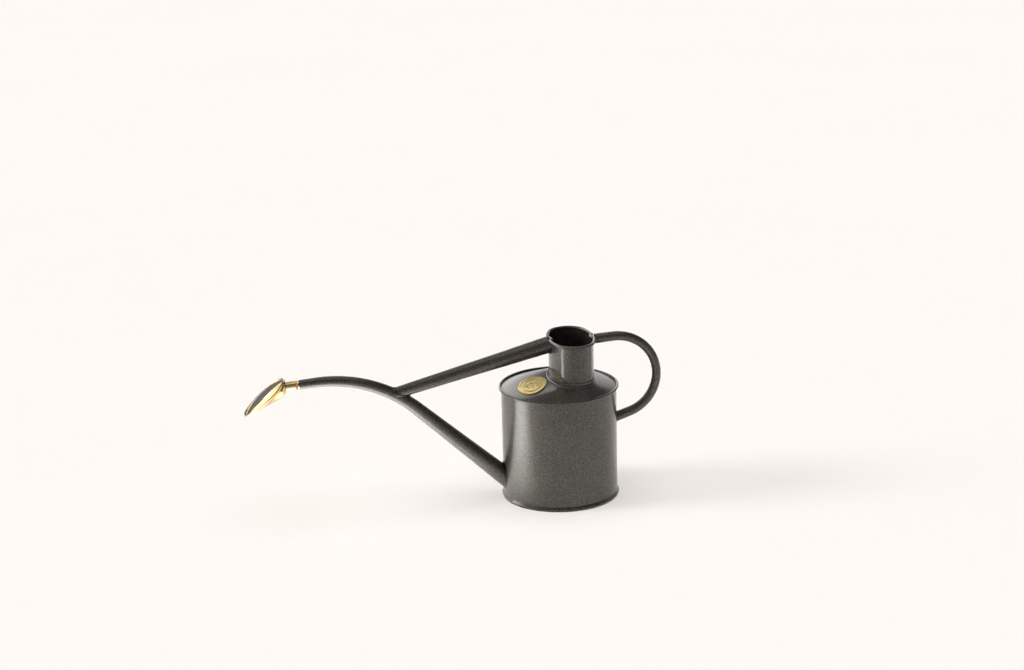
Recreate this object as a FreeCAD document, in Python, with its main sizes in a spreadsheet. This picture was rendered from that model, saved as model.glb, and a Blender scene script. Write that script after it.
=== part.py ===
"""Small indoor watering can: one macro that builds every piece and writes it as STEP.

Frame: millimetres, +Z up.  The origin is the centre of the can's base, on the surface it
stands on.  The spout points along -X and the handle is at +X, so Y = 0 is the can's mid-plane.
"""
import FreeCAD
import Part
import Sketcher
import math
import os

V = FreeCAD.Vector
Z_UP = V(0, 0, 1)
Y_AXIS = V(0, 1, 0)

# Driving dimensions, in millimetres and degrees.
DIMENSIONS = {
    "zero": 0.0,
    # how far a cutting tool runs past the part it cuts, and how far joined sheets sink together
    "overrun": 10.0,
    "weld_depth": 0.05,
    # barrel: the rolled sheet cylinder with its lapped side seam under the handle
    "barrel_radius": 57.5,
    "sheet_wall": 0.8,
    "barrel_foot": 0.85,
    "barrel_top": 112.0,
    "seam_angle": 5.0,
    "seam_step": 0.6,
    # base pan: pressed disc, folded round the barrel's foot
    "fit_gap": 0.05,
    "pan_underside": 3.2,
    "pan_ring_width": 0.8,
    "hem_height": 4.6,
    "hem_reach": 1.5,
    "hem_foot_inset": 0.7,
    # shoulder: shallow oblique cone from the barrel's rim to the neck's collar
    "rim_height": 112.9,
    "rim_ring_radius": 58.55,
    "rim_wire_radius": 1.35,
    "cone_foot_radius": 57.3,
    "cone_foot_height": 112.6,
    "cone_top_height": 120.3,
    "cone_top_margin": 3.1,
    "cone_drop": 0.9,
    "spigot_depth": 4.0,
    "spigot_wall": 0.6,
    "collar_ring_margin": 2.6,
    "collar_ring_height": 2.2,
    "collar_ring_round": 1.2,
    "collar_sink": 0.3,
    "upstand_margin": 0.9,
    "upstand_top": 124.9,
    # neck: oval filling tube, set back toward the handle, longer across than along
    "neck_offset": 13.2,
    "neck_half_length": 21.8,
    "neck_half_width": 35.4,
    "neck_end_radius": 18.5,
    "neck_wall": 0.7,
    "neck_foot": 117.5,
    "neck_rim_height": 161.5,
    "neck_rim_round": 1.6,
    "neck_rim_reach": 2.2,
    # the rim is dented where each tube meets it
    "dent_radius": 7.0,
    "dent_depth": 2.6,
    # spout: tapered tube, straight at first, then one long bend to a slightly drooping tip
    "tube_wall": 0.7,
    "spout_start_height": 22.4,
    "spout_slope": 42.3,
    "spout_straight": 114.8,
    "spout_bend_radius": 134.5,
    "spout_droop": 4.0,
    "spout_tip_run": 15.2,
    "spout_inner_run": 20.0,
    "spout_radius_root": 9.9,
    "spout_radius_middle": 6.7,
    "spout_radius_tip": 4.68,
    # brace: tapered tube from the neck's rim down to the spout
    "brace_root_height": 158.5,
    "brace_slope": 14.16,
    "brace_length": 171.2,
    "brace_radius_neck": 8.48,
    "brace_radius_spout": 5.7,
    # handle: bent tube from the neck's rim round to the barrel
    "handle_start_x": 28.0,
    "handle_start_height": 158.45,
    "handle_rise": 3.42,
    "handle_run": 28.04,
    "handle_bend_radius": 41.13,
    "handle_return": 18.48,
    "handle_tail": 20.5,
    "handle_radius_end": 5.15,
    "handle_radius_bend": 4.5,
    # solder collars where tubes meet sheet
    "solder_size": 0.9,
    "solder_reach": 30.0,
    "solder_taper": 1.0,
    "neck_solder_foot": 137.6,
    # brass ferrule, washer and rose socket, measured along the spout's tip axis
    "ferrule_tail": 12.0,
    "ferrule_tail_radius": 3.9,
    "ferrule_collar": 1.9,
    "ferrule_collar_radius": 4.5,
    "ferrule_nose": 14.5,
    "ferrule_nose_radius": 3.35,
    "ferrule_bore_radius": 2.7,
    "axial_gap": 0.1,
    "washer_thickness": 1.7,
    "washer_radius": 4.35,
    "washer_bore_radius": 3.43,
    "socket_length": 13.2,
    "socket_radius": 4.45,
    "socket_bore_radius": 3.4,
    "edge_round": 0.4,
    # rose: oval perforated face, rolled rim and a shell tapering back to the socket
    "rose_centre_x": -292.6,
    "rose_centre_height": 122.7,
    "rose_tilt": 40.2,
    "rose_half_length": 25.3,
    "rose_half_width": 19.0,
    "rose_rim_round": 0.9,
    "rose_rim_height": 0.3,
    "rose_shell_wall": 0.6,
    "rose_shell_edge": -0.65,
    "rose_belly_x": 19.1,
    "rose_belly_z": -6.7,
    "rose_belly_tilt": 35.2,
    "rose_belly_half_length": 9.2,
    "rose_belly_half_width": 8.2,
    "rose_throat_station": 13.6,
    "rose_throat_half_length": 5.35,
    "rose_throat_half_width": 5.3,
    "socket_way_run": 6.0,
    "dome_half_height": 10.0,
    "dome_base_height": 6.4,
    "dome_half_length": 32.0,
    "dome_half_width": 23.8,
    "dome_wall": 0.6,
    "hole_radius": 0.55,
    "hole_ring_step_x": 4.1,
    "hole_ring_step_y": 3.05,
    "hole_start": -4.0,
    "hole_depth": 12.0,
    # badge: brass oval lying on the shoulder's spout side
    "badge_x": -28.0,
    "badge_y": -8.6,
    "badge_half_length": 22.0,
    "badge_half_width": 14.2,
    "badge_turn": 78.0,
    "badge_thickness": 0.7,
    "badge_relief": 0.4,
    "badge_border": 1.7,
    "badge_ring_half_length": 15.8,
    "badge_ring_half_width": 9.4,
    "badge_ring_wall": 0.8,
    "badge_flower_radius": 6.0,
    "badge_eye_half_length": 1.8,
    "badge_eye_half_width": 1.6,
    "badge_petal_half_length": 1.7,
    "badge_petal_half_width": 1.3,
    "badge_reach": 17.0,
}

# Sizes that follow from the ones above.
DERIVED = {
    "barrel_inner_radius": "=barrel_radius - sheet_wall",
    "pan_outer_radius": "=barrel_radius - sheet_wall - fit_gap",
    "pan_inner_radius": "=barrel_radius - sheet_wall - fit_gap - pan_ring_width",
    "pan_top": "=pan_underside + sheet_wall",
    "hem_inner_radius": "=barrel_radius + fit_gap",
    "hem_outer_radius": "=barrel_radius + hem_reach",
    "hem_foot_radius": "=barrel_radius + hem_reach - hem_foot_inset",
    "hem_fold": "=sheet_wall",
    "hem_bulge_height": "=hem_height * 0.45",
    "oval_end_offset": "=neck_half_width - neck_end_radius",
    "oval_side_radius": "=(neck_half_length ^ 2 + oval_end_offset ^ 2 - neck_end_radius ^ 2)"
                        " / (2 * (neck_half_length - neck_end_radius))",
    "oval_side_offset": "=oval_side_radius - neck_half_length",
    "oval_split_sine": "=oval_end_offset / (oval_side_radius - neck_end_radius)",
    "oval_split_cosine": "=sqrt(1 - oval_split_sine ^ 2)",
    "rim_shelf": "=neck_rim_height - neck_rim_round",
    "spout_start_x": "=-barrel_radius",
    "spout_bend_x": "=spout_start_x - spout_straight * cos(spout_slope * 1 deg)",
    "spout_bend_z": "=spout_start_height + spout_straight * sin(spout_slope * 1 deg)",
    "spout_centre_x": "=spout_bend_x - spout_bend_radius * sin(spout_slope * 1 deg)",
    "spout_centre_z": "=spout_bend_z - spout_bend_radius * cos(spout_slope * 1 deg)",
    "spout_level_x": "=spout_centre_x - spout_bend_radius * sin(spout_droop * 1 deg)",
    "spout_level_z": "=spout_centre_z + spout_bend_radius * cos(spout_droop * 1 deg)",
    "spout_tip_x": "=spout_level_x - spout_tip_run * cos(spout_droop * 1 deg)",
    "spout_tip_z": "=spout_level_z - spout_tip_run * sin(spout_droop * 1 deg)",
    "spout_root_x": "=spout_start_x + spout_inner_run * cos(spout_slope * 1 deg)",
    "spout_root_z": "=spout_start_height - spout_inner_run * sin(spout_slope * 1 deg)",
    "handle_start_z": "=handle_start_height",
    "spigot_foot": "=barrel_top - spigot_depth",
    "spigot_top": "=cone_foot_height + weld_depth",
    "collar_foot": "=cone_top_height - collar_sink",
    "collar_top": "=cone_top_height - collar_sink + collar_ring_height",
    "neck_tool_top": "=neck_rim_height + overrun",
    "lip_top": "=neck_rim_height + neck_rim_round",
    "rim_bead_margin": "=neck_rim_reach - neck_rim_round",
    "dent_offset": "=neck_half_length + rim_bead_margin + dent_radius - dent_depth",
    "neck_bore_margin": "=-neck_wall",
    "lip_fillet": "=neck_rim_round * 0.96",
    "neck_rim_inner_margin": "=neck_rim_reach - 2 * neck_rim_round",
    "handle_bend_x": "=handle_start_x + handle_run * cos(handle_rise * 1 deg)",
    "handle_bend_z": "=handle_start_height + handle_run * sin(handle_rise * 1 deg)",
    "handle_centre_x": "=handle_bend_x + handle_bend_radius * sin(handle_rise * 1 deg)",
    "handle_centre_z": "=handle_bend_z - handle_bend_radius * cos(handle_rise * 1 deg)",
    "handle_leave_x": "=handle_centre_x + handle_bend_radius * sin(handle_return * 1 deg)",
    "handle_leave_z": "=handle_centre_z - handle_bend_radius * cos(handle_return * 1 deg)",
    "handle_end_x": "=handle_leave_x - handle_tail * cos(handle_return * 1 deg)",
    "handle_end_z": "=handle_leave_z - handle_tail * sin(handle_return * 1 deg)",
    "handle_side_angle": "=(handle_rise - handle_return) / 2",
    "handle_side_x": "=handle_centre_x + handle_bend_radius * cos(handle_side_angle * 1 deg)",
    "handle_side_z": "=handle_centre_z + handle_bend_radius * sin(handle_side_angle * 1 deg)",
    "ferrule_back": "=-ferrule_tail",
    "ferrule_collar_mid": "=ferrule_collar - edge_round",
    "ferrule_collar_edge": "=ferrule_collar_radius - edge_round",
    "washer_back": "=ferrule_collar + axial_gap",
    "washer_front": "=washer_back + washer_thickness",
    "washer_edge": "=washer_radius - edge_round",
    "washer_back_mid": "=washer_back + edge_round",
    "washer_front_mid": "=washer_front - edge_round",
    "socket_back": "=washer_front + axial_gap",
    "socket_back_mid": "=socket_back + edge_round",
    "socket_edge": "=socket_radius - edge_round",
    "socket_front": "=socket_back + socket_length",
    "throat_x": "=spout_tip_x - rose_throat_station * cos(spout_droop * 1 deg)",
    "throat_z": "=spout_tip_z - rose_throat_station * sin(spout_droop * 1 deg)",
    "belly_x": "=rose_centre_x + rose_belly_x * cos(rose_tilt * 1 deg)"
               " - rose_belly_z * sin(rose_tilt * 1 deg)",
    "belly_z": "=rose_centre_height + rose_belly_x * sin(rose_tilt * 1 deg)"
               " + rose_belly_z * cos(rose_tilt * 1 deg)",
}

HOLE_RINGS = 5
HOLES_PER_RING_STEP = 7
PETALS = 8
HEIGHT_TOLERANCE = 0.01
ANY_TURN = 30  # degrees: a first turn that fixes the axis, before the sheet sets the angle

os.makedirs("parts", exist_ok=True)
doc = FreeCAD.newDocument("watering_can")
sheet = doc.addObject("Spreadsheet::Sheet", "dims")
for row, (alias, value) in enumerate(list(DIMENSIONS.items()) + list(DERIVED.items()), start=1):
    sheet.set(f"A{row}", alias)
    sheet.set(f"B{row}", str(value))
    sheet.setAlias(f"B{row}", alias)
doc.recompute()


def size(alias):
    """A dimension's value as a plain number, for a sketch's first layout."""
    return float(sheet.get(alias))


def add(kind, name, **expressions):
    """A document object with its sizes bound to the sheet."""
    obj = doc.addObject(kind, name)
    for prop, expression in expressions.items():
        obj.setExpression(prop, expression)
    return obj


def place(obj, x="0", y="0", z="0", turn=None, axis=Y_AXIS):
    """Bind an object's position, and its turn about one axis in degrees, to the sheet."""
    if turn is not None:
        obj.Placement = FreeCAD.Placement(V(0, 0, 0), FreeCAD.Rotation(axis, ANY_TURN))
        obj.setExpression(".Placement.Rotation.Angle", f"({turn}) * 1 deg")
    for letter, expression in (("x", x), ("y", y), ("z", z)):
        obj.setExpression(f".Placement.Base.{letter}", f"({expression}) * 1 mm")
    return obj


def cylinder(name, radius, height, **where):
    return place(add("Part::Cylinder", name, Radius=radius, Height=height), **where)


def cone(name, radius_1, radius_2, height, **where):
    obj = add("Part::Cone", name, Radius1=radius_1, Radius2=radius_2, Height=height)
    return place(obj, **where)


def box(name, length, width, height, **where):
    obj = add("Part::Box", name, Length=length, Width=width, Height=height)
    return place(obj, **where)


def cut(name, base, *tools):
    """Base with every tool taken away."""
    result = base
    for number, tool in enumerate(tools, start=1):
        last = number == len(tools)
        step = doc.addObject("Part::Cut", name if last else f"{name}_cut{number}")
        step.Base = result
        step.Tool = tool
        result = step
    return result


def join(name, *shapes):
    obj = doc.addObject("Part::MultiFuse", name)
    obj.Shapes = list(shapes)
    return obj


def common(name, *shapes):
    obj = doc.addObject("Part::MultiCommon", name)
    obj.Shapes = list(shapes)
    return obj


def extrude(name, sketch, height):
    obj = add("Part::Extrusion", name, LengthFwd=height)
    obj.Base = sketch
    obj.DirMode = "Custom"
    obj.Dir = Z_UP
    obj.Solid = True
    return obj


def arc(centre_x, centre_y, radius, start, end):
    circle = Part.Circle(V(centre_x, centre_y, 0), Z_UP, radius)
    return Part.ArcOfCircle(circle, start, end)


def bind(sketch, constraint, expression):
    """Add a sized constraint and bind it to the sheet."""
    index = sketch.addConstraint(constraint)
    sketch.setExpression(f"Constraints[{index}]", expression)


def oval_sketch(name, margin, height):
    """The neck's four-arc oval, grown outward by a margin, lying flat at a height."""
    sketch = doc.addObject("Sketcher::SketchObject", name)
    end_y, side_x = size("oval_end_offset"), size("oval_side_offset")
    end_r, side_r = size("neck_end_radius") + size(margin), size("oval_side_radius") + size(margin)
    split = math.asin(size("oval_split_sine"))
    right = sketch.addGeometry(arc(-side_x, 0, side_r, -split, split))
    back = sketch.addGeometry(arc(0, end_y, end_r, split, math.pi - split))
    left = sketch.addGeometry(arc(side_x, 0, side_r, math.pi - split, math.pi + split))
    front = sketch.addGeometry(arc(0, -end_y, end_r, math.pi + split, 2 * math.pi - split))
    for here, following in ((right, back), (back, left), (left, front)):
        sketch.addConstraint(Sketcher.Constraint("Tangent", here, 2, following, 1))
    for side, sign in ((right, "-"), (left, "")):
        value = -side_x if sign else side_x
        sketch.addConstraint(Sketcher.Constraint("PointOnObject", side, 3, -1))
        bind(sketch, Sketcher.Constraint("DistanceX", -1, 1, side, 3, value),
             f"{sign}dims.oval_side_offset * 1 mm")
    for end, sign in ((back, ""), (front, "-")):
        value = -end_y if sign else end_y
        sketch.addConstraint(Sketcher.Constraint("PointOnObject", end, 3, -2))
        bind(sketch, Sketcher.Constraint("DistanceY", -1, 1, end, 3, value),
             f"{sign}dims.oval_end_offset * 1 mm")
    radius = f"(dims.oval_side_radius + dims.{margin})"
    bind(sketch, Sketcher.Constraint("Radius", right, side_r), f"{radius} * 1 mm")
    bind(sketch, Sketcher.Constraint("DistanceX", -1, 1, front, 2,
                                     side_r * math.cos(split) - side_x),
         f"({radius} * dims.oval_split_cosine - dims.oval_side_offset) * 1 mm")
    bind(sketch, Sketcher.Constraint("DistanceY", -1, 1, right, 1, -side_r * math.sin(split)),
         f"-{radius} * dims.oval_split_sine * 1 mm")
    return place(sketch, x="dims.neck_offset", z=height)


def oval_prism(name, margin, foot, top):
    sketch = oval_sketch(f"{name}_outline", margin, foot)
    return extrude(name, sketch, f"(({top}) - ({foot})) * 1 mm")


def round_sketch(name, height):
    """The cone's foot circle, split at the same four angles as the neck's oval."""
    sketch = doc.addObject("Sketcher::SketchObject", name)
    radius = size("cone_foot_radius")
    split = math.asin(size("oval_split_sine"))
    angles = [-split, split, math.pi - split, math.pi + split, 2 * math.pi - split]
    ring = [sketch.addGeometry(arc(0, 0, radius, start, end))
            for start, end in zip(angles, angles[1:])]
    for here in ring:
        sketch.addConstraint(Sketcher.Constraint("Coincident", here, 3, -1, 1))
    for here, following in zip(ring[:3], ring[1:]):
        sketch.addConstraint(Sketcher.Constraint("Coincident", here, 2, following, 1))
    bind(sketch, Sketcher.Constraint("Radius", ring[0], radius), "dims.cone_foot_radius * 1 mm")
    reach = radius * math.sin(split)
    for here, point, sign in ((ring[0], 1, -1), (ring[0], 2, 1), (ring[1], 2, 1),
                              (ring[2], 2, -1), (ring[3], 2, -1)):
        bind(sketch, Sketcher.Constraint("DistanceY", -1, 1, here, point, sign * reach),
             f"{sign} * dims.cone_foot_radius * dims.oval_split_sine * 1 mm")
    return place(sketch, z=height)


def shoulder_loft(name, lift):
    """The oblique cone between the barrel's rim and the collar, raised by a lift."""
    obj = doc.addObject("Part::Loft", name)
    foot = round_sketch(f"{name}_foot", f"dims.cone_foot_height + {lift}")
    top = oval_sketch(f"{name}_top", "cone_top_margin", f"dims.cone_top_height + {lift}")
    obj.Sections = [foot, top]
    obj.Solid = True
    obj.Ruled = True
    return obj


def path_sketch(name, start, bend, centre, leave, end, radius_alias, turns_left):
    """Line, arc, line in the plane Y = 0, every point held at its place in the sheet."""
    sketch = doc.addObject("Sketcher::SketchObject", name)
    xz = {key: (size(f"{key}_x"), size(f"{key}_z")) for key in (start, bend, centre, leave, end)}
    radius = math.dist(xz[bend], xz[centre])
    a_bend = math.atan2(xz[bend][1] - xz[centre][1], xz[bend][0] - xz[centre][0])
    a_leave = math.atan2(xz[leave][1] - xz[centre][1], xz[leave][0] - xz[centre][0])
    low, high = (a_bend, a_leave) if turns_left else (a_leave, a_bend)
    first = sketch.addGeometry(Part.LineSegment(V(*xz[start], 0), V(*xz[bend], 0)))
    middle = sketch.addGeometry(arc(*xz[centre], radius, low, high))
    last = sketch.addGeometry(Part.LineSegment(V(*xz[leave], 0), V(*xz[end], 0)))
    enter, depart = (1, 2) if turns_left else (2, 1)
    sketch.addConstraint(Sketcher.Constraint("Coincident", first, 2, middle, enter))
    sketch.addConstraint(Sketcher.Constraint("Coincident", middle, depart, last, 1))
    for key, geometry, point in ((start, first, 1), (bend, first, 2),
                                 (leave, last, 1), (end, last, 2)):
        for direction, letter, value in (("DistanceX", "x", xz[key][0]),
                                         ("DistanceY", "z", xz[key][1])):
            bind(sketch, Sketcher.Constraint(direction, -1, 1, geometry, point, value),
                 f"dims.{key}_{letter} * 1 mm")
    bind(sketch, Sketcher.Constraint("Radius", middle, radius), f"dims.{radius_alias} * 1 mm")
    sketch.Placement = FreeCAD.Placement(V(0, 0, 0), FreeCAD.Rotation(V(1, 0, 0), 90))
    return sketch


def circle_across(name, radius, x, z, lean):
    """A circle across the mid-plane whose normal leans from +Z toward +X by an angle."""
    return place(add("Part::Circle", name, Radius=radius), x=x, z=z, turn=lean)


def sweep(name, path, edges, sections):
    obj = doc.addObject("Part::Sweep", name)
    obj.Sections = sections
    obj.Spine = (path, [f"Edge{number}" for number in range(1, edges + 1)])
    obj.Solid = True
    obj.Frenet = False
    return obj


def spout_solid(name, growth):
    """The spout's full length as a solid, its radii changed by a growth."""
    root = circle_across(f"{name}_root", f"(dims.spout_radius_root + {growth}) * 1 mm",
                         "dims.spout_root_x", "dims.spout_root_z", "dims.spout_slope - 90")
    middle = circle_across(f"{name}_middle", f"(dims.spout_radius_middle + {growth}) * 1 mm",
                           "dims.spout_bend_x", "dims.spout_bend_z", "dims.spout_slope - 90")
    tip = circle_across(f"{name}_tip", f"(dims.spout_radius_tip + {growth}) * 1 mm",
                        "dims.spout_tip_x", "dims.spout_tip_z", "-dims.spout_droop - 90")
    return sweep(name, spout_path, 3, [root, middle, tip])


def handle_solid(name, growth):
    """The handle's full length as a solid, its radii changed by a growth."""
    end_radius = f"(dims.handle_radius_end + {growth}) * 1 mm"
    start = circle_across(f"{name}_start", end_radius, "dims.handle_start_x",
                          "dims.handle_start_height", "90 - dims.handle_rise")
    side = circle_across(f"{name}_side", f"(dims.handle_radius_bend + {growth}) * 1 mm",
                         "dims.handle_side_x", "dims.handle_side_z",
                         "180 - dims.handle_side_angle")
    tail = circle_across(f"{name}_tail", end_radius, "dims.handle_end_x", "dims.handle_end_z",
                         "270 - dims.handle_return")
    return sweep(name, handle_path, 3, [start, side, tail])


def turned_body(name, corners):
    """A body of revolution about the spout's tip axis, from (radius, station) corners."""
    body = doc.addObject("PartDesign::Body", name)
    sketch = body.newObject("Sketcher::SketchObject", f"{name}_profile")
    plane = next(o for o in body.Origin.OriginFeatures if o.Role == "XZ_Plane")
    sketch.AttachmentSupport = [(plane, "")]
    sketch.MapMode = "FlatFace"
    points = [V(size(radius), size(station), 0) for radius, station in corners]
    lines = [sketch.addGeometry(Part.LineSegment(here, following))
             for here, following in zip(points, points[1:] + points[:1])]
    for here, following in zip(lines, lines[1:] + lines[:1]):
        sketch.addConstraint(Sketcher.Constraint("Coincident", here, 2, following, 1))
    for line, point, (radius, station) in zip(lines, points, corners):
        bind(sketch, Sketcher.Constraint("DistanceX", -1, 1, line, 1, point.x),
             f"dims.{radius} * 1 mm")
        bind(sketch, Sketcher.Constraint("DistanceY", -1, 1, line, 1, point.y),
             f"dims.{station} * 1 mm")
    turn = body.newObject("PartDesign::Revolution", f"{name}_turn")
    turn.Profile = sketch
    turn.ReferenceAxis = (sketch, ["V_Axis"])
    turn.Angle = 360
    body.Tip = turn
    return body


def on_tip(obj):
    """Stand a body on the spout's end, its own +Z along the tip axis."""
    return place(obj, x="dims.spout_tip_x", z="dims.spout_tip_z", turn="-dims.spout_droop - 90")


def rose_point(x, z):
    """Where a point of the rose's own frame lies: X up its long axis, Z out of its face."""
    cosine, sine = "cos(dims.rose_tilt * 1 deg)", "sin(dims.rose_tilt * 1 deg)"
    return {"x": f"dims.rose_centre_x + ({x}) * {cosine} - ({z}) * {sine}",
            "z": f"dims.rose_centre_height + ({x}) * {sine} + ({z}) * {cosine}"}


def on_rose(obj, x="0", y="0", z="0"):
    """Set an object in the rose's own frame."""
    return place(obj, y=y, turn="-dims.rose_tilt", **rose_point(x, z))


def filleted(name, base, radius, wanted):
    """Round the edges that a test picks out."""
    doc.recompute()
    picked = [number for number, edge in enumerate(base.Shape.Edges, start=1) if wanted(edge)]
    obj = doc.addObject("Part::Fillet", name)
    obj.Base = base
    obj.Edges = [(number, size(radius), size(radius)) for number in picked]
    return obj


def flat_at(edge, height):
    """Does an edge lie flat at a height?"""
    bounds = edge.BoundBox
    return max(abs(bounds.ZMin - height), abs(bounds.ZMax - height)) < HEIGHT_TOLERANCE


# --- shared paths and cutting tools -------------------------------------------------------
spout_path = path_sketch("spout_path", "spout_root", "spout_bend", "spout_centre",
                         "spout_level", "spout_tip", "spout_bend_radius", turns_left=True)
handle_path = path_sketch("handle_path", "handle_start", "handle_bend", "handle_centre",
                          "handle_leave", "handle_end", "handle_bend_radius",
                          turns_left=False)
spout_outer = spout_solid("spout_outer", "0")
spout_bore = spout_solid("spout_bore", "-dims.tube_wall")
barrel_solid = cylinder("barrel_solid", "dims.barrel_radius * 1 mm", "dims.barrel_top * 1 mm")
neck_solid = oval_prism("neck_solid", "zero", "dims.cone_foot_height", "dims.neck_tool_top")
rim_solid = oval_prism("rim_solid", "neck_rim_reach", "dims.rim_shelf", "dims.neck_tool_top")

# --- barrel -------------------------------------------------------------------------------
barrel_skin = cylinder("barrel_skin", "dims.barrel_radius * 1 mm",
                       "(dims.barrel_top - dims.barrel_foot) * 1 mm", z="dims.barrel_foot")
seam_lap = cylinder("seam_lap", "(dims.barrel_radius + dims.seam_step) * 1 mm",
                    "(dims.barrel_top - dims.hem_height - 3) * 1 mm", z="dims.hem_height + 1",
                    turn="-dims.seam_angle / 2", axis=Z_UP)
seam_lap.setExpression("Angle", "dims.seam_angle * 1 deg")
barrel_hollow = cylinder("barrel_hollow", "dims.barrel_inner_radius * 1 mm",
                         "(dims.barrel_top + 2 * dims.overrun) * 1 mm", z="-dims.overrun")
barrel = cut("barrel", join("barrel_blank", barrel_skin, seam_lap), barrel_hollow, spout_bore)

# --- base pan -----------------------------------------------------------------------------
pan_corners = [("zero", "pan_underside"), ("pan_inner_radius", "pan_underside"),
               ("pan_inner_radius", "zero"), ("hem_foot_radius", "zero"),
               ("hem_outer_radius", "hem_bulge_height"), ("hem_inner_radius", "hem_height"),
               ("hem_inner_radius", "hem_fold"), ("pan_outer_radius", "hem_fold"),
               ("pan_outer_radius", "pan_top"), ("zero", "pan_top")]
base_pan = turned_body("base_pan", pan_corners)

# --- shoulder -----------------------------------------------------------------------------
shoulder_outer = shoulder_loft("shoulder_outer", "0")
shoulder_under = shoulder_loft("shoulder_under", "-dims.cone_drop")
rim_ring = place(add("Part::Torus", "rim_ring", Radius1="dims.rim_ring_radius * 1 mm",
                     Radius2="dims.rim_wire_radius * 1 mm"), z="dims.rim_height")
spigot_skin = cylinder("spigot_skin", "dims.pan_outer_radius * 1 mm",
                       "(dims.spigot_top - dims.spigot_foot) * 1 mm", z="dims.spigot_foot")
spigot_hollow = cylinder("spigot_hollow", "(dims.pan_outer_radius - dims.spigot_wall) * 1 mm",
                         "(dims.spigot_depth + 2 * dims.overrun) * 1 mm",
                         z="dims.spigot_foot - dims.overrun")
spigot = cut("spigot", spigot_skin, spigot_hollow)
collar_blank = oval_prism("collar_blank", "collar_ring_margin", "dims.collar_foot",
                          "dims.collar_top")
collar_ring = filleted("collar_ring", collar_blank, "collar_ring_round",
                       lambda edge: flat_at(edge, size("collar_top")))
upstand = oval_prism("upstand", "upstand_margin", "dims.collar_foot", "dims.upstand_top")
shoulder_dome = cut("shoulder_dome", shoulder_outer, shoulder_under)
neck_way = oval_prism("neck_way", "fit_gap", "dims.cone_foot_height - dims.overrun",
                      "dims.upstand_top + dims.overrun")
shoulder = cut("shoulder", join("shoulder_blank", shoulder_dome, rim_ring, spigot, collar_ring,
                                upstand), neck_way)

# --- neck ---------------------------------------------------------------------------------
neck_skin = oval_prism("neck_skin", "zero", "dims.neck_foot", "dims.neck_rim_height")
neck_lip = oval_prism("neck_lip", "neck_rim_reach", "dims.rim_shelf", "dims.lip_top")
lip_hollow = oval_prism("lip_hollow", "neck_rim_inner_margin",
                        "dims.rim_shelf - dims.overrun", "dims.lip_top + dims.overrun")
lip_ring = cut("lip_ring", neck_lip, lip_hollow)
lip_round = filleted("lip_round", lip_ring, "lip_fillet",
                     lambda edge: flat_at(edge, size("rim_shelf")) or flat_at(edge, size("lip_top")))
neck_hollow = oval_prism("neck_hollow", "neck_bore_margin",
                         "dims.neck_foot - dims.overrun", "dims.neck_tool_top")
dent_ways, dent_rings = [], []
for side, sign in (("spout_side", "-"), ("handle_side", "+")):
    centre = f"dims.neck_offset {sign} dims.dent_offset"
    dent_ways.append(cylinder(f"{side}_way", "dims.dent_radius * 1 mm", "dims.overrun * 1 mm",
                              x=centre, z="dims.rim_shelf"))
    ring = add("Part::Torus", f"{side}_ring", Radius1="dims.dent_radius * 1 mm",
               Radius2="dims.neck_rim_round * 1 mm")
    dent_rings.append(place(ring, x=centre, z="dims.neck_rim_height"))
within_rim = oval_prism("within_rim", "rim_bead_margin", "dims.neck_foot", "dims.neck_tool_top")
neck_blank = join("neck_blank", cut("neck_wall_tube", neck_skin, neck_hollow), lip_round)
neck_tube = join("neck_tube", cut("neck_dented", neck_blank, *dent_ways),
                 common("dent_beads", join("dent_circles", *dent_rings), within_rim))

# --- spout --------------------------------------------------------------------------------
spout = cut("spout", spout_outer, spout_bore, barrel_solid)

# --- brace between the neck and the spout -------------------------------------------------
brace_where = {"x": "0", "z": "dims.brace_root_height", "turn": "-dims.brace_slope - 90"}
brace_outer = cone("brace_outer", "dims.brace_radius_neck * 1 mm",
                   "dims.brace_radius_spout * 1 mm", "dims.brace_length * 1 mm", **brace_where)
brace_bore = cone("brace_bore", "(dims.brace_radius_neck - dims.tube_wall) * 1 mm",
                  "(dims.brace_radius_spout - dims.tube_wall) * 1 mm",
                  "dims.brace_length * 1 mm", **brace_where)
spout_brace = cut("spout_brace", brace_outer, brace_bore, spout_outer, neck_solid, rim_solid)

# --- handle -------------------------------------------------------------------------------
handle_outer = handle_solid("handle_outer", "0")
handle_bore = handle_solid("handle_bore", "-dims.tube_wall")
handle = cut("handle", handle_outer, handle_bore, neck_solid, rim_solid, barrel_solid,
             seam_lap)

# --- solder collars -----------------------------------------------------------------------
solder_skin = cylinder("solder_skin", "(dims.barrel_radius + dims.solder_size) * 1 mm",
                       "dims.barrel_top * 1 mm")
solder_band = cut("solder_band", solder_skin, barrel_solid)
spout_fat = cone("spout_fat", "(dims.spout_radius_root + dims.solder_size) * 1 mm",
                 "(dims.spout_radius_root + dims.solder_size - dims.solder_taper) * 1 mm",
                 "(dims.spout_inner_run + dims.solder_reach) * 1 mm",
                 x="dims.spout_root_x", z="dims.spout_root_z", turn="dims.spout_slope - 90")
solder_spout = cut("solder_spout", common("solder_spout_blank", solder_band, spout_fat),
                   spout_outer)
handle_fat = cylinder("handle_fat", "(dims.handle_radius_end + dims.solder_size) * 1 mm",
                      "dims.solder_reach * 1 mm", x="dims.handle_end_x", z="dims.handle_end_z",
                      turn="90 - dims.handle_return")
solder_handle_foot = cut("solder_handle_foot",
                         common("solder_foot_blank", solder_band, handle_fat),
                         handle_outer, seam_lap)
solder_oval = oval_prism("solder_oval", "solder_size", "dims.neck_solder_foot",
                         "dims.rim_shelf - dims.fit_gap")
oval_band = cut("oval_band", solder_oval, neck_solid)
brace_fat = cone("brace_fat", "(dims.brace_radius_neck + dims.solder_size) * 1 mm",
                 "(dims.brace_radius_spout + dims.solder_size) * 1 mm",
                 "dims.brace_length * 1 mm", **brace_where)
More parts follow.
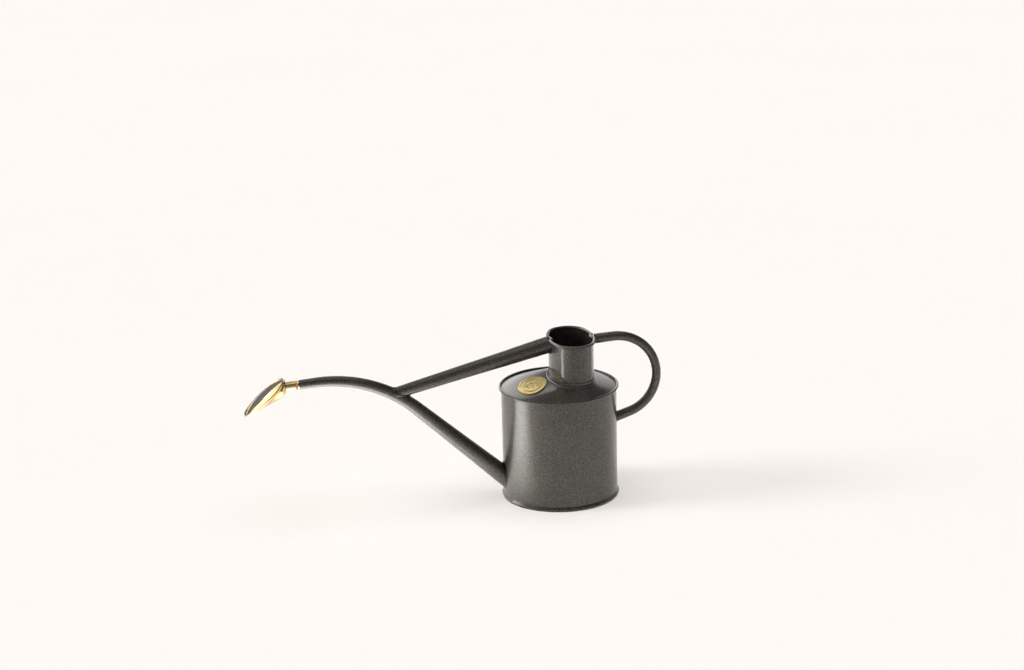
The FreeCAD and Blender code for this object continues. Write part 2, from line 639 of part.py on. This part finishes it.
half_space = box("half_space", "dims.barrel_radius * 1 mm", "2 * dims.barrel_radius * 1 mm",
                 "dims.neck_rim_height * 1 mm",
                 x="dims.neck_offset - dims.barrel_radius", y="-dims.barrel_radius")
solder_brace_neck = cut("solder_brace_neck",
                        common("solder_brace_blank", oval_band, brace_fat, half_space),
                        brace_outer)
handle_top_fat = cylinder("handle_top_fat", "(dims.handle_radius_end + dims.solder_size) * 1 mm",
                          "dims.handle_run * 1 mm", x="dims.handle_start_x",
                          z="dims.handle_start_height", turn="90 - dims.handle_rise")
solder_handle_neck = cut("solder_handle_neck",
                         common("solder_top_blank", oval_band, handle_top_fat), handle_outer)
spout_swollen = spout_solid("spout_swollen", "dims.solder_size")
solder_brace_spout = cut("solder_brace_spout",
                         common("solder_crotch_blank", spout_swollen, brace_fat),
                         spout_outer, brace_outer)

# --- ferrule, washer and socket on the spout's tip axis -----------------------------------
spout_ferrule = on_tip(turned_body("spout_ferrule", [
    ("ferrule_bore_radius", "ferrule_back"), ("ferrule_tail_radius", "ferrule_back"),
    ("ferrule_tail_radius", "zero"), ("ferrule_collar_edge", "zero"),
    ("ferrule_collar_radius", "edge_round"), ("ferrule_collar_radius", "ferrule_collar_mid"),
    ("ferrule_collar_edge", "ferrule_collar"), ("ferrule_nose_radius", "ferrule_collar"),
    ("ferrule_nose_radius", "ferrule_nose"), ("ferrule_bore_radius", "ferrule_nose")]))
tip_washer = on_tip(turned_body("tip_washer", [
    ("washer_bore_radius", "washer_back"), ("washer_edge", "washer_back"),
    ("washer_radius", "washer_back_mid"), ("washer_radius", "washer_front_mid"),
    ("washer_edge", "washer_front"), ("washer_bore_radius", "washer_front")]))
rose_socket = on_tip(turned_body("rose_socket", [
    ("socket_bore_radius", "socket_back"), ("socket_edge", "socket_back"),
    ("socket_radius", "socket_back_mid"), ("socket_radius", "socket_front"),
    ("socket_bore_radius", "socket_front")]))


# --- rose shell ---------------------------------------------------------------------------
def ellipse(name, half_length, half_width):
    return add("Part::Ellipse", name, MajorRadius=half_length, MinorRadius=half_width)


def shell_solid(name, wall):
    """The rose's back as a solid, every section drawn in by a wall."""
    mouth = on_rose(ellipse(f"{name}_mouth", f"(dims.rose_half_length - {wall}) * 1 mm",
                            f"(dims.rose_half_width - {wall}) * 1 mm"), z="dims.rose_shell_edge")
    belly = place(ellipse(f"{name}_belly", f"(dims.rose_belly_half_length - {wall}) * 1 mm",
                          f"(dims.rose_belly_half_width - {wall}) * 1 mm"),
                  x="dims.belly_x", z="dims.belly_z",
                  turn="-dims.rose_tilt - dims.rose_belly_tilt")
    throat = place(ellipse(f"{name}_throat", f"(dims.rose_throat_half_length - {wall}) * 1 mm",
                           f"(dims.rose_throat_half_width - {wall}) * 1 mm"),
                   x="dims.throat_x", z="dims.throat_z", turn="-dims.spout_droop - 90")
    obj = doc.addObject("Part::Loft", name)
    obj.Sections = [mouth, belly, throat]
    obj.Solid = True
    obj.Ruled = True
    return obj


shell_outer = shell_solid("shell_outer", "0")
shell_hollow = shell_solid("shell_hollow", "dims.rose_shell_wall")
socket_way = on_tip(cylinder("socket_way", "(dims.socket_radius + dims.fit_gap) * 1 mm",
                             "(dims.socket_front + dims.socket_way_run) * 1 mm"))
rose_shell = cut("rose_shell", shell_outer, shell_hollow, socket_way)

# --- rose face ----------------------------------------------------------------------------
def dome(name, wall):
    obj = add("Part::Ellipsoid", name, Radius1=f"(dims.dome_half_height - {wall}) * 1 mm",
              Radius2=f"(dims.dome_half_length - {wall}) * 1 mm",
              Radius3=f"(dims.dome_half_width - {wall}) * 1 mm")
    return on_rose(obj, z="dims.rose_rim_height - dims.dome_base_height")


rim_path = on_rose(ellipse("rim_path", "dims.rose_half_length * 1 mm",
                           "dims.rose_half_width * 1 mm"), z="dims.rose_rim_height")
rim_section = place(add("Part::Circle", "rim_section", Radius="dims.rose_rim_round * 1 mm"),
                    turn="90", axis=V(1, 0, 0),
                    **rose_point("dims.rose_half_length", "dims.rose_rim_height"))
rose_rim = sweep("rose_rim", rim_path, 1, [rim_section])
keep_above = box("keep_above", "2 * dims.dome_half_length * 1 mm",
                 "2 * dims.dome_half_length * 1 mm", "dims.dome_half_height * 1 mm")
on_rose(keep_above, x="-dims.dome_half_length", y="-dims.dome_half_length",
        z="dims.rose_rim_height")
plate = common("plate", cut("dome_skin", dome("dome_outer", "0"),
                            dome("dome_inner", "dims.dome_wall")), keep_above)
holes = []
for ring in range(HOLE_RINGS + 1):
    count = HOLES_PER_RING_STEP * ring or 1
    for index in range(count):
        angle = 360.0 * (index + 0.5 * (ring % 2)) / count
        hole = cylinder(f"hole_{ring}_{index:02d}", "dims.hole_radius * 1 mm",
                        "dims.hole_depth * 1 mm")
        on_rose(hole, x=f"{ring} * dims.hole_ring_step_x * cos({angle:.4f} deg)",
                y=f"{ring} * dims.hole_ring_step_y * sin({angle:.4f} deg)",
                z="dims.rose_rim_height + dims.hole_start")
        holes.append(hole)
hole_tool = doc.addObject("Part::Compound", "hole_tool")
hole_tool.Links = holes
rose_face = join("rose_face", cut("plate_holed", plate, hole_tool), rose_rim)


# --- badge --------------------------------------------------------------------------------
def badge_prism(name, half_length, half_width, **where):
    outline = ellipse(f"{name}_outline", half_length, half_width)
    where = {"x": "dims.badge_x", "y": "dims.badge_y", **where}
    place(outline, z="dims.spigot_foot", turn="dims.badge_turn", axis=Z_UP, **where)
    return extrude(name, outline, "dims.badge_reach * 1 mm")


level_one = shoulder_loft("badge_level_one", "dims.badge_thickness")
level_two = shoulder_loft("badge_level_two", "dims.badge_thickness + dims.badge_relief")
half_long, half_wide = "dims.badge_half_length", "dims.badge_half_width"
whole = badge_prism("badge_whole", f"{half_long} * 1 mm", f"{half_wide} * 1 mm")
within = badge_prism("badge_within", f"({half_long} - dims.badge_border) * 1 mm",
                     f"({half_wide} - dims.badge_border) * 1 mm")
ring_out = badge_prism("badge_ring_out", "dims.badge_ring_half_length * 1 mm",
                       "dims.badge_ring_half_width * 1 mm")
ring_in = badge_prism("badge_ring_in",
                      "(dims.badge_ring_half_length - dims.badge_ring_wall) * 1 mm",
                      "(dims.badge_ring_half_width - dims.badge_ring_wall) * 1 mm")
petals = [badge_prism("badge_eye", "dims.badge_eye_half_length * 1 mm",
                      "dims.badge_eye_half_width * 1 mm")]
for index in range(PETALS):
    angle = 360.0 * index / PETALS
    petals.append(badge_prism(
        f"badge_petal_{index}", "dims.badge_petal_half_length * 1 mm",
        "dims.badge_petal_half_width * 1 mm",
        x=f"dims.badge_x + dims.badge_flower_radius * cos({angle:.1f} deg)",
        y=f"dims.badge_y + dims.badge_flower_radius * sin({angle:.1f} deg)"))
raised = join("badge_raised", cut("badge_border_ring", whole, within),
              cut("badge_inner_ring", ring_out, ring_in), *petals)
badge = cut("badge", join("badge_blank", common("badge_plate", level_one, whole),
                          common("badge_motif", level_two, raised)), shoulder_outer)

# --- write every piece --------------------------------------------------------------------
PIECES = {
    "body_barrel": barrel, "base_pan": base_pan, "shoulder": shoulder, "neck_tube": neck_tube,
    "spout": spout, "spout_brace": spout_brace, "handle": handle,
    "solder_spout": solder_spout, "solder_handle_foot": solder_handle_foot,
    "solder_handle_neck": solder_handle_neck, "solder_brace_neck": solder_brace_neck,
    "solder_brace_spout": solder_brace_spout, "spout_ferrule": spout_ferrule,
    "tip_washer": tip_washer, "rose_socket": rose_socket, "rose_shell": rose_shell,
    "rose_face": rose_face, "badge": badge,
}
doc.recompute()
for obj in doc.Objects:
    if {"Invalid", "Error"} & set(obj.State):
        raise RuntimeError(f"{obj.Name} did not compute: {obj.State}")
for node, obj in PIECES.items():
    obj.Label = node
    shape = obj.Shape
    if shape.isNull() or not shape.isValid() or not shape.Solids:
        raise RuntimeError(f"{node} has no valid solid")
    shape.exportStep(f"parts/{node}.step")
    print(f"{node}: {len(shape.Solids)} solid(s), {shape.Volume:.0f} mm3,"
          f" {len(shape.Faces)} faces")
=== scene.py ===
import math

import bpy
from mathutils import Matrix, Vector

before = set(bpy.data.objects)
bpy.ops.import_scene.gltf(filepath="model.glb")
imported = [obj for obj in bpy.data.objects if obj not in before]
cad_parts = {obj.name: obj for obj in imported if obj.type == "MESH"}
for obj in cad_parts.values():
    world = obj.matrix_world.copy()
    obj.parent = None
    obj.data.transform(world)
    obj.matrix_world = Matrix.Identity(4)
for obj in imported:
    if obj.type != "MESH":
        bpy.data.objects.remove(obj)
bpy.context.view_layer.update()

# --- camera, standing in front of the can and a little above it ---------------------------
CAMERA_PLACE = Vector((-0.4076, -2.3656, 0.9086))
CAMERA_HEADING = 8.7      # degrees from +Y toward +X
CAMERA_PITCH = 17.18      # degrees below the horizon
CAMERA_ROLL = 1.5         # degrees
CAMERA_LENS = 89.16       # millimetres
SENSOR_WIDTH = 36.0       # millimetres
CAMERA_REACH = 100.0

# --- suns: name, strength, then spread, azimuth and elevation in degrees, and any shadow ---
SUNS = (("fill_light", 3.12, 60.0, 90.0, 90.0, False),
        ("overhead_light", 0.15, 60.0, 90.0, 90.0, True),
        ("key_light", 1.20, 22.0, 176.0, 27.0, True))

# --- softbox at the left, mirrored in the paint and brass ---------------------------------
SOFTBOX_DISTANCE = 1.6
SOFTBOX_AZIMUTH = 166.0   # degrees
SOFTBOX_HEIGHT = 0.30
SOFTBOX_SIZE = (0.8, 0.7)
SOFTBOX_POWER = 7.0

# From here a FADE is four numbers: a value goes smoothly from the third to the fourth
# while what it depends on goes from the first to the second.

# --- sheet on the floor, only mirrored: a bright patch, and shade toward the camera -------
SHEET_HALF = 1.6
SHEET_LEVEL = 0.001
PATCH_MIDDLE = (-0.36, -0.03, SHEET_LEVEL)
PATCH_REACH = (0.34, 0.13, 1.0)
PATCH_FADE = (0.15, 1.0, 6.8, 0.0)
SHADE_FADE = (-0.22, -0.75, 1.0, 0.45)

# --- slate card behind the rose and soft net behind the neck, both only mirrored ----------
SLATE_LOW = (-0.50, 0.22, 0.105)
SLATE_HIGH = (-0.165, 0.22, 0.245)
SLATE_SHADES = ((0.14, 0.17, 0.34), (0.24, 0.28, 0.52))
SLATE_CLOTH = 30.0        # cloth, cloud, grain and flake sizes are given as scales per metre
NET_MIDDLE = (0.005, 0.13, 0.165)
NET_REACH = (0.065, 1.0, 0.060)
NET_FADE = (0.25, 1.0, 0.05, 1.0)

# --- studio walls, by the direction in which they are seen from the can -------------------
WALL_UP_FADE = (0.34, 0.60, 1.0, 0.0)
WALL_BEHIND_FADE = (-0.5, 0.4, 0.12, 1.0)
WALL_LEFT_FADE = (-0.35, -0.9, 0.0, 1.0)
WALL_RIGHT_FADE = (0.35, 0.85, 1.0, 0.40)
CEILING_FADE = (0.83, 0.97, 0.012, 0.85)
FRONT_FADE = (-0.2, -0.8, 0.0, 0.12)
WALL_COLOUR = (1.0, 0.985, 0.965)
# bright windows: the direction of each one's middle, and a fade by the cosine of the angle
# from it
WINDOWS = (((-0.15, 0.93, 0.335), (0.88, 0.985, 0.0, 1.5)),
           ((-0.66, 0.55, 0.51), (0.925, 0.975, 0.0, 3.0)))

# --- surfaces -----------------------------------------------------------------------------
NOISE_RANGE = (0.3, 0.7)  # most of a noise's values lie between these
AIR_SAMPLES = 8

FLOOR_HALF = 15.0
FLOOR_COLOUR = (0.822, 0.785, 0.757)
FLOOR_CLOUDS = 3.0
FLOOR_CLOUD_SHADE = 0.997
FLOOR_ROUGHNESS = 0.9

PAINT_DARK = (0.041, 0.038, 0.032)
PAINT_MID = (0.091, 0.084, 0.071)
PAINT_LIGHT = (0.23, 0.215, 0.19)
PAINT_METALLIC = 0.88
PAINT_GRAIN = 1300.0
GRAIN_RANGE = (0.38, 0.60)
GRAIN_ROUGHNESS = (0.44, 0.52)
PAINT_FLAKES = 2300.0
SOLDER_FLAKES = 1400.0
FLAKE_RANGE = (0.72, 1.0)
FLAKE_WEIGHT = 0.75
FLAKE_HEIGHT = 0.35
PAINT_CLOUDS = 26.0
PAINT_CLOUD_SHADES = (0.90, 1.10)
PAINT_CLOUD_ROUGHNESS = (-0.02, 0.03)
# painted shade: the near black that the paint fades to in creases, between parts and where it
# meets the floor, how far the shade reaches, and its fade
PAINT_CREASE_SHADE = (0.012, 0.011, 0.010)
CREASE_SHADE_REACH = 0.0022
CREASE_SHADE_RANGE = (0.45, 0.80)
PAINT_BUMP = (0.36, 0.00010)  # a bump's strength, and its depth in metres
COAT_WEIGHT = 0.7
COAT_ROUGHNESS = 0.09

BRASS = (0.82, 0.60, 0.27)
BRASS_ROUGHNESS = 0.10
BADGE_BRASS = (0.80, 0.62, 0.24)
BADGE_ROUGHNESS = 0.34
BADGE_PATINA = 0.8
BRASS_CLOUDS = 90.0
BRASS_CLOUD_ROUGHNESS = (-0.03, 0.07)
TARNISH_RANGE = (0.35, 0.75)
TARNISH_SHADE = 0.72
BRUSHING = 2400.0
BRUSHING_ROUGHNESS = (-0.02, 0.03)
BRUSHING_BUMP = (0.12, 0.00005)
PATINA = (0.13, 0.095, 0.035)
PATINA_REACH = 0.0009
PATINA_RANGE = (0.62, 0.92)

FIBRE_DARK = (0.40, 0.20, 0.13)
FIBRE_LIGHT = (0.58, 0.36, 0.27)
FIBRES = 1800.0
FIBRE_RANGE = (0.35, 0.7)
FIBRE_ROUGHNESS = (0.45, 0.65)
FIBRE_BUMP = (0.3, 0.00008)


class Nodes:
    """A material's or world's node tree, with short calls to add and join nodes."""

    def __init__(self, owner):
        owner.use_nodes = True
        self.tree = owner.node_tree
        self.tree.nodes.clear()

    def add(self, kind, **settings):
        node = self.tree.nodes.new(kind)
        for key, value in settings.items():
            setattr(node, key, value)
        return node

    def feed(self, socket, source):
        """Set a socket to a number or colour, or join it to another node's output."""
        if isinstance(source, bpy.types.NodeSocket):
            self.tree.links.new(source, socket)
        elif isinstance(source, (tuple, list)) and len(source) == 3 and socket.type == "RGBA":
            socket.default_value = (*source, 1.0)
        else:
            socket.default_value = source

    def math(self, operation, first, second):
        node = self.add("ShaderNodeMath", operation=operation)
        self.feed(node.inputs[0], first)
        self.feed(node.inputs[1], second)
        return node.outputs[0]

    def vector(self, operation, first, second=(0.0, 0.0, 0.0)):
        """Vector arithmetic; a length or a dot product comes out as a number."""
        node = self.add("ShaderNodeVectorMath", operation=operation)
        self.feed(node.inputs[0], first)
        self.feed(node.inputs[1], second)
        return node.outputs["Value" if operation in ("LENGTH", "DOT_PRODUCT") else "Vector"]

    def fade(self, value, low, high, to_low=0.0, to_high=1.0):
        node = self.add("ShaderNodeMapRange", interpolation_type="SMOOTHSTEP")
        for socket, given in zip(node.inputs, (value, low, high, to_low, to_high)):
            self.feed(socket, given)
        return node.outputs[0]

    def mix(self, factor, first, second, blend="MIX"):
        node = self.add("ShaderNodeMix", data_type="RGBA", blend_type=blend)
        self.feed(node.inputs[0], factor)
        self.feed(node.inputs[6], first)
        self.feed(node.inputs[7], second)
        return node.outputs[2]

    def noise(self, where, scale, detail, roughness):
        node = self.add("ShaderNodeTexNoise")
        self.feed(node.inputs["Vector"], where)
        self.feed(node.inputs["Scale"], scale)
        self.feed(node.inputs["Detail"], detail)
        self.feed(node.inputs["Roughness"], roughness)
        return node.outputs[0]

    def flakes(self, where, scale):
        """A chance number for each small cell of the surface."""
        node = self.add("ShaderNodeTexVoronoi")
        self.feed(node.inputs["Vector"], where)
        self.feed(node.inputs["Scale"], scale)
        return self.part(node.outputs["Color"], "X")

    def bump(self, height, strength, depth):
        node = self.add("ShaderNodeBump")
        self.feed(node.inputs["Strength"], strength)
        self.feed(node.inputs["Distance"], depth)
        self.feed(node.inputs["Height"], height)
        return node.outputs[0]

    def distance(self, middle, reach):
        """How far a point is from a middle: 1 on the ellipsoid with these half axes."""
        offset = self.vector("SUBTRACT", self.place(), middle)
        return self.vector("LENGTH", self.vector("DIVIDE", offset, reach))

    def open_air(self, reach, only_local):
        """1 where nothing stands near the surface, less in creases and recesses."""
        node = self.add("ShaderNodeAmbientOcclusion", samples=AIR_SAMPLES, only_local=only_local)
        self.feed(node.inputs["Distance"], reach)
        return node.outputs["AO"]

    def place(self):
        """A point's place in the can's own frame, in metres."""
        return self.add("ShaderNodeTexCoord").outputs["Object"]

    def part(self, vector, axis):
        node = self.add("ShaderNodeSeparateXYZ")
        self.feed(node.inputs[0], vector)
        return node.outputs["XYZ".index(axis)]

    def show(self, shader, kind="ShaderNodeOutputMaterial"):
        """Join a shader to the tree's output."""
        self.feed(self.add(kind).inputs[0], shader.outputs[0])

    def surface(self, **inputs):
        """Show a Principled surface; its inputs are named with _ for a space."""
        shader = self.add("ShaderNodeBsdfPrincipled")
        for name, source in inputs.items():
            self.feed(shader.inputs[name.replace("_", " ")], source)
        self.show(shader)


def material(name):
    made = bpy.data.materials.new(name)
    return made, Nodes(made)


def paint_material(name, flake_scale):
    """Satin graphite paint: metallic flakes under a slightly pebbled skin, with painted shade
    darkening its creases.
    """
    made, n = material(name)
    where = n.place()
    flake = n.flakes(where, flake_scale)
    grain = n.noise(where, PAINT_GRAIN, detail=2.0, roughness=0.6)
    cloud = n.noise(where, PAINT_CLOUDS, detail=3.0, roughness=0.55)
    colour = n.mix(n.fade(grain, *GRAIN_RANGE), PAINT_DARK, PAINT_MID)
    bright = n.math("MULTIPLY", n.fade(flake, *FLAKE_RANGE), FLAKE_WEIGHT)
    colour = n.mix(bright, colour, PAINT_LIGHT)
    shade = n.fade(cloud, *NOISE_RANGE, *PAINT_CLOUD_SHADES)
    grey = n.add("ShaderNodeCombineColor")
    for socket in grey.inputs:
        n.feed(socket, shade)
    colour = n.mix(1.0, colour, grey.outputs[0], "MULTIPLY")
    # painted shade: the colour is darkened toward near black in creases, between parts and at
    # the floor, where shade falls
    crease_shade = n.fade(n.open_air(CREASE_SHADE_REACH, False), *CREASE_SHADE_RANGE)
    colour = n.mix(crease_shade, PAINT_CREASE_SHADE, colour)
    rough = n.math("ADD", n.fade(grain, *NOISE_RANGE, *GRAIN_ROUGHNESS),
                   n.fade(cloud, *NOISE_RANGE, *PAINT_CLOUD_ROUGHNESS))
    height = n.math("ADD", grain, n.math("MULTIPLY", flake, FLAKE_HEIGHT))
    n.surface(Base_Color=colour, Metallic=PAINT_METALLIC, Roughness=rough,
              Normal=n.bump(height, *PAINT_BUMP),
              Coat_Weight=COAT_WEIGHT, Coat_Roughness=COAT_ROUGHNESS)
    return made


def brass_material(name, tone, roughness, patina=0.0):
    """Brass with faint brushing, fingered patches, a little tarnish and any patina."""
    made, n = material(name)
    where = n.place()
    cloud = n.noise(where, BRASS_CLOUDS, detail=3.0, roughness=0.6)
    fine = n.noise(where, BRUSHING, detail=2.0, roughness=0.5)
    darker = tuple(TARNISH_SHADE * part for part in tone)
    colour = n.mix(n.fade(cloud, *TARNISH_RANGE), tone, darker)
    if patina:
        recess = n.fade(n.open_air(PATINA_REACH, True), *PATINA_RANGE, patina, 0.0)
        colour = n.mix(recess, colour, PATINA)
    fingered = (roughness + change for change in BRASS_CLOUD_ROUGHNESS)
    rough = n.math("ADD", n.fade(cloud, *NOISE_RANGE, *fingered),
                   n.fade(fine, *NOISE_RANGE, *BRUSHING_ROUGHNESS))
    n.surface(Base_Color=colour, Metallic=1.0, Roughness=rough,
              Normal=n.bump(fine, *BRUSHING_BUMP))
    return made


def washer_material():
    made, n = material("fibre_ring")
    fibre = n.noise(n.place(), FIBRES, detail=4.0, roughness=0.7)
    n.surface(Base_Color=n.mix(n.fade(fibre, *FIBRE_RANGE), FIBRE_DARK, FIBRE_LIGHT),
              Roughness=n.fade(fibre, *NOISE_RANGE, *FIBRE_ROUGHNESS),
              Normal=n.bump(fibre, *FIBRE_BUMP))
    return made


def floor_material():
    made, n = material("studio_floor")
    cloud = n.noise(n.place(), FLOOR_CLOUDS, detail=2.0, roughness=0.5)
    darker = tuple(FLOOR_CLOUD_SHADE * part for part in FLOOR_COLOUR)
    n.surface(Base_Color=n.mix(n.fade(cloud, *NOISE_RANGE), FLOOR_COLOUR, darker),
              Roughness=FLOOR_ROUGHNESS, Specular_IOR_Level=0.0)
    return made


def sheet_material(name):
    """Light added to the floor round one middle point, and shade toward the camera."""
    made, n = material(name)
    light = n.add("ShaderNodeEmission")
    patch = n.fade(n.distance(PATCH_MIDDLE, PATCH_REACH), *PATCH_FADE)
    n.feed(light.inputs["Strength"], patch)
    through = n.add("ShaderNodeBsdfTransparent")
    n.feed(through.inputs["Color"], n.fade(n.part(n.place(), "Y"), *SHADE_FADE))
    both = n.add("ShaderNodeAddShader")
    for socket, shader in zip(both.inputs, (light, through)):
        n.feed(socket, shader.outputs[0])
    n.show(both)
    return made


def slate_material(name):
    made, n = material(name)
    cloth = n.noise(n.place(), SLATE_CLOTH, detail=2.0, roughness=0.5)
    light = n.add("ShaderNodeEmission")
    n.feed(light.inputs["Color"], n.mix(cloth, *SLATE_SHADES))
    n.show(light)
    return made


def net_material(name):
    """A net that lets less light through at its middle than at its edge."""
    made, n = material(name)
    through = n.add("ShaderNodeBsdfTransparent")
    n.feed(through.inputs["Color"], n.fade(n.distance(NET_MIDDLE, NET_REACH), *NET_FADE))
    n.show(through)
    return made


def paint_parts():
    paint = paint_material("graphite_paint", PAINT_FLAKES)
    solder = paint_material("painted_solder", SOLDER_FLAKES)
    brass = brass_material("polished_brass", BRASS, BRASS_ROUGHNESS)
    badge = brass_material("badge_brass", BADGE_BRASS, BADGE_ROUGHNESS, BADGE_PATINA)
    ring = washer_material()
    for name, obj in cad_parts.items():
        chosen = paint
        if name.startswith("solder"):
            chosen = solder
        elif name == "badge":
            chosen = badge
        elif name == "tip_washer":
            chosen = ring
        elif name.startswith("rose") or name == "spout_ferrule":
            chosen = brass
        for slot in obj.material_slots:
            slot.material = chosen


def add_to_scene(name, data):
    made = bpy.data.objects.new(name, data)
    bpy.context.scene.collection.objects.link(made)
    return made


def flat_face(name, corners, finish):
    mesh = bpy.data.meshes.new(name)
    mesh.from_pydata(corners, [], [(0, 1, 2, 3)])
    mesh.materials.append(finish)
    return add_to_scene(name, mesh)


def level_corners(half, level):
    return [(x * half, y * half, level) for x, y in ((-1, -1), (1, -1), (1, 1), (-1, 1))]


def upright_corners(low, high):
    return [low, (high[0], low[1], low[2]), high, (low[0], high[1], high[2])]


def make_floor():
    floor = flat_face("floor", level_corners(FLOOR_HALF, 0.0), floor_material())


def mirrored_only(name, corners, finish):
    """A flat card that only shows where a polished surface mirrors it."""
    card = flat_face(name, corners, finish)
    for way in ("camera", "diffuse", "shadow", "transmission"):
        setattr(card, f"visible_{way}", False)


def make_cards():
    mirrored_only("floor_sheet", level_corners(SHEET_HALF, SHEET_LEVEL),
                  sheet_material("floor_sheet"))
    mirrored_only("rose_card", upright_corners(SLATE_LOW, SLATE_HIGH),
                  slate_material("rose_card"))
    x, y, z = NET_MIDDLE
    low, high = ((x + side * NET_REACH[0], y, z + side * NET_REACH[2]) for side in (-1, 1))
    mirrored_only("neck_net", upright_corners(low, high), net_material("neck_net"))


def sun(name, strength, spread, azimuth, elevation, casts_shadow):
    """A broad light that colours surfaces but isn't itself mirrored in them."""
    data = bpy.data.lights.new(name, "SUN")
    data.energy = strength
    data.angle = math.radians(spread)
    data.use_shadow = casts_shadow
    lamp = add_to_scene(name, data)
    a, e = math.radians(azimuth), math.radians(elevation)
    toward = Vector((math.cos(a) * math.cos(e), math.sin(a) * math.cos(e), math.sin(e)))
    lamp.rotation_euler = toward.to_track_quat("Z", "Y").to_euler()
    lamp.visible_glossy = False


def make_softbox():
    """A glowing panel that shows as a highlight but lights no diffuse surface."""
    data = bpy.data.lights.new("left_softbox", "AREA")
    data.shape = "RECTANGLE"
    data.size, data.size_y = SOFTBOX_SIZE
    data.energy = SOFTBOX_POWER
    lamp = add_to_scene("left_softbox", data)
    a = math.radians(SOFTBOX_AZIMUTH)
    middle = Vector((SOFTBOX_DISTANCE * math.cos(a), SOFTBOX_DISTANCE * math.sin(a),
                     SOFTBOX_HEIGHT))
    lamp.location = middle
    lamp.rotation_euler = middle.to_track_quat("Z", "Y").to_euler()
    lamp.visible_camera = False
    lamp.visible_diffuse = False


def make_world():
    """A studio: pale walls round the can up to a low height, and a dark ceiling and front."""
    world = bpy.data.worlds.new("studio")
    bpy.context.scene.world = world
    n = Nodes(world)
    way = n.add("ShaderNodeTexCoord").outputs["Generated"]
    across, away, up = (n.part(way, axis) for axis in "XYZ")
    sides = n.math("MAXIMUM", n.fade(away, *WALL_BEHIND_FADE), n.fade(across, *WALL_LEFT_FADE))
    glow = n.math("MULTIPLY", n.fade(up, *WALL_UP_FADE), sides)
    glow = n.math("MULTIPLY", glow, n.fade(across, *WALL_RIGHT_FADE))
    for toward, window_fade in WINDOWS:
        cosine = n.vector("DOT_PRODUCT", way, toward)
        glow = n.math("ADD", glow, n.fade(cosine, *window_fade))
    glow = n.math("ADD", glow, n.fade(up, *CEILING_FADE))
    glow = n.math("ADD", glow, n.fade(away, *FRONT_FADE))
    background = n.add("ShaderNodeBackground")
    n.feed(background.inputs["Color"], WALL_COLOUR)
    n.feed(background.inputs["Strength"], glow)
    n.show(background, "ShaderNodeOutputWorld")
    # the walls light nothing diffuse: that is left to the suns
    world.cycles_visibility.diffuse = False


def make_camera():
    data = bpy.data.cameras.new("camera")
    data.lens = CAMERA_LENS
    data.sensor_width = SENSOR_WIDTH
    data.clip_end = CAMERA_REACH
    camera = add_to_scene("camera", data)
    heading, pitch = math.radians(CAMERA_HEADING), math.radians(CAMERA_PITCH)
    forward = Vector((math.sin(heading) * math.cos(pitch),
                      math.cos(heading) * math.cos(pitch), -math.sin(pitch)))
    right = forward.cross(Vector((0, 0, 1))).normalized()
    above = right.cross(forward)
    roll = math.radians(CAMERA_ROLL)
    axis_x = math.cos(roll) * right - math.sin(roll) * above
    axis_y = math.sin(roll) * right + math.cos(roll) * above
    turn = Matrix((axis_x, axis_y, -forward)).transposed().to_4x4()
    camera.matrix_world = Matrix.Translation(CAMERA_PLACE) @ turn
    bpy.context.scene.camera = camera


paint_parts()
make_floor()
make_world()
make_cards()
for settings in SUNS:
    sun(*settings)
make_softbox()
make_camera()
bpy.context.scene.view_settings.view_transform = "Standard"
